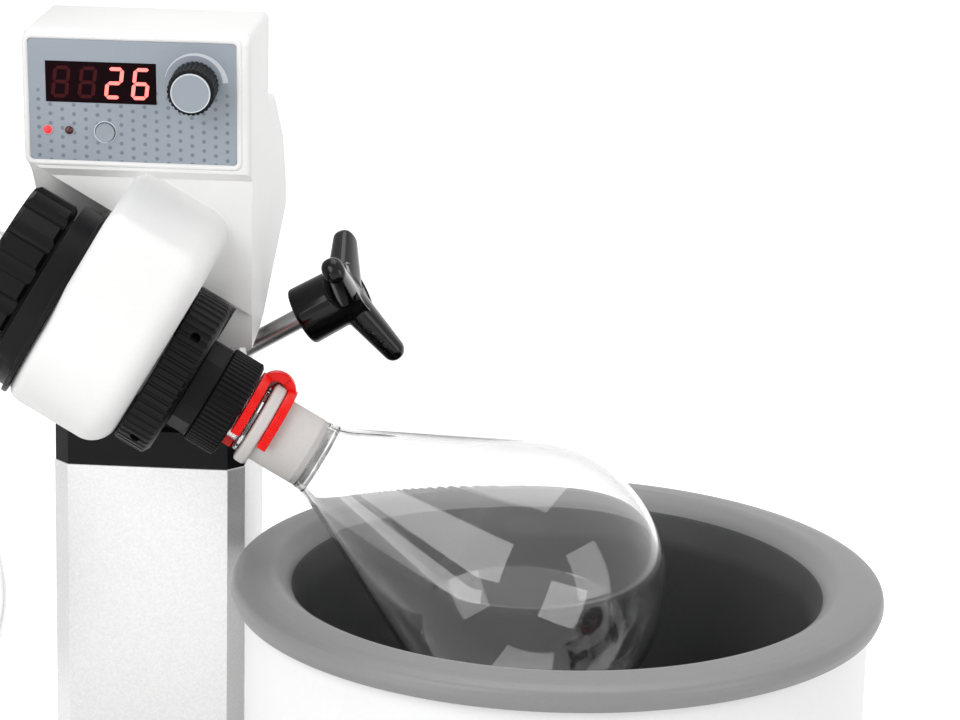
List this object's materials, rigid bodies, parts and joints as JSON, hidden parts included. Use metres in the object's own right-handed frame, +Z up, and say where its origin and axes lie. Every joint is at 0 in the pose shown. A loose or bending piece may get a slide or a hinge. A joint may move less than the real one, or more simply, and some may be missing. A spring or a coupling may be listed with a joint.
{
  "type": "rotary evaporator",
  "caption": "Benchtop rotary evaporator with lift column, slanted rotary drive, round heating bath, pear-shaped flask and upright glass condenser.",
  "frame": {"origin": "on the table, in the middle of the whole width and depth", "axes": "+Z up, +X towards the heating bath, +Y to the back"},
  "size_m": [0.551, 0.3474, 0.846],
  "materials": {
    "white_housing": "satin moulded",
    "white_enamel": "powder coat",
    "grey_panel": "matt film",
    "black_plastic": "fine grain",
    "aluminium": "bead blasted, anodised",
    "steel": "machined",
    "coated_bowl": "non-stick coating",
    "zinc_plate": "zinc plated",
    "clear_glass": "clear borosilicate",
    "red_clip": "translucent",
    "rubber": "matt",
    "ptfe": "waxy",
    "pale_cap": "satin",
    "board_green": "solder mask",
    "display_black": "glossy window",
    "lamp": "lit",
    "brown_stub": "moulded"
  },
  "bodies": {
    "base": {"base_cover": "white_housing", "base_plate": "zinc_plate", "base_feet": "rubber", "base_screws": "zinc_plate", "column": "aluminium", "column_collar": "black_plastic", "mast_bush": "ptfe", "brake_bar": "steel", "gas_spring_body": "black_plastic", "power_supply": "zinc_plate", "mains_inlets": "black_plastic", "bath_bowl": "coated_bowl", "bath_shell": "white_enamel", "bath_heater": "steel", "bath_fascia": "grey_panel", "bath_board": "board_green"},
    "main_switch": {"main_switch_rocker": "black_plastic"},
    "depth_stop": {"depth_knob": "black_plastic"},
    "bath_dial": {"bath_knob": "black_plastic"},
    "bath_switch": {"bath_rocker": "black_plastic"},
    "lift": {"mast": "aluminium", "mast_shoe": "ptfe", "gas_spring_rod": "steel", "lock_block": "aluminium", "head_chassis": "zinc_plate", "head_front_shell": "white_housing", "head_rear_shell": "white_housing", "control_panel": "grey_panel", "display_module": "display_black", "status_lamps": "lamp", "control_board": "board_green", "drive_housing": "white_housing", "rotor_bearings": "steel", "flat_motor": "black_plastic", "drive_belt": "rubber", "drive_flange": "black_plastic", "shaft_seal": "ptfe", "condenser_jacket": "clear_glass", "condenser_coil": "clear_glass", "condenser_stubs": "brown_stub", "condenser_cap": "ptfe", "receiving_flask": "clear_glass", "ball_clamp": "steel"},
    "speed_dial": {"speed_knob": "black_plastic", "speed_knob_cap": "pale_cap"},
    "mode_button": {"interval_button": "pale_cap"},
    "union": {"union_nut": "black_plastic"},
    "lock_handle": {"lock_rod": "steel", "lock_knob": "black_plastic", "lock_knob_cap": "pale_cap"},
    "stopcock": {"feed_key": "ptfe"},
    "rotor": {"hollow_shaft": "steel", "rotor_pulley": "black_plastic", "clamp_neck": "black_plastic", "vapour_duct": "clear_glass", "joint_clip": "red_clip", "evaporating_flask": "clear_glass"},
    "motor_rotor": {"motor_shaft": "steel"},
    "ring_lock": {"locking_ring": "black_plastic"},
    "flask_release": {"flask_nut": "black_plastic"}
  },
  "joints": [
    {"name": "lift_travel", "type": "slide", "parent": "base", "child": "lift", "axis": [0, 0, 1], "range_m": [-0.012, 0.138]},
    {"name": "main_switch_rock", "type": "hinge", "parent": "base", "child": "main_switch", "pos_m": [-0.1225, -0.158, 0.037], "axis": [1, 0, 0], "range_deg": [-14, 0]},
    {"name": "depth_stop_turn", "type": "hinge", "parent": "base", "child": "depth_stop", "pos_m": [-0.0765, 0.039, 0.11], "axis": [0, -1, 0], "range_deg": [-90, 90]},
    {"name": "bath_dial_turn", "type": "hinge", "parent": "base", "child": "bath_dial", "pos_m": [0.1555, -0.158, 0.112], "axis": [0, 1, 0], "range_deg": [0, 280]},
    {"name": "bath_switch_rock", "type": "hinge", "parent": "base", "child": "bath_switch", "pos_m": [0.0935, -0.158, 0.093], "axis": [1, 0, 0], "range_deg": [-14, 0]},
    {"name": "speed_dial_turn", "type": "hinge", "parent": "lift", "child": "speed_dial", "pos_m": [-0.0499, 0.01014, 0.45586], "axis": [0, 0.9958, 0.0919], "range_deg": [-60, 225]},
    {"name": "mode_button_press", "type": "slide", "parent": "lift", "child": "mode_button", "axis": [0, 0.9958, 0.0919], "range_m": [0, 0.0015], "stiffness_N_per_m": 300, "springref_m": -0.001},
    {"name": "union_turn", "type": "hinge", "parent": "lift", "child": "union", "pos_m": [-0.018, 0, 0.3], "axis": [0.866, 0, -0.5], "range_deg": [0, 180]},
    {"name": "lock_handle_turn", "type": "hinge", "parent": "lift", "child": "lock_handle", "pos_m": [-0.0315, 0.073, 0.3178], "axis": [0.8616, 0, 0.5075], "range_deg": [-60, 60]},
    {"name": "stopcock_turn", "type": "hinge", "parent": "lift", "child": "stopcock", "pos_m": [-0.2035, 0, 0.828], "axis": [0, 1, 0], "range_deg": [-90, 90]},
    {"name": "rotor_spin", "type": "hinge", "parent": "lift", "child": "rotor", "pos_m": [-0.018, 0, 0.3], "axis": [0.866, 0, -0.5], "continuous": true},
    {"name": "motor_spin", "type": "hinge", "parent": "lift", "child": "motor_rotor", "pos_m": [-0.07527, 0.012, 0.3908], "axis": [0.866, 0, -0.5], "continuous": true},
    {"name": "ring_lock_turn", "type": "hinge", "parent": "rotor", "child": "ring_lock", "pos_m": [-0.018, 0, 0.3], "axis": [0.866, 0, -0.5], "range_deg": [0, 90]},
    {"name": "flask_release_turn", "type": "hinge", "parent": "rotor", "child": "flask_release", "pos_m": [-0.018, 0, 0.3], "axis": [0.866, 0, -0.5], "range_deg": [-180, 180]}
  ],
  "couplings": [
    {"joint": "motor_spin", "follows": "rotor_spin", "ratio": 4}
  ]
}
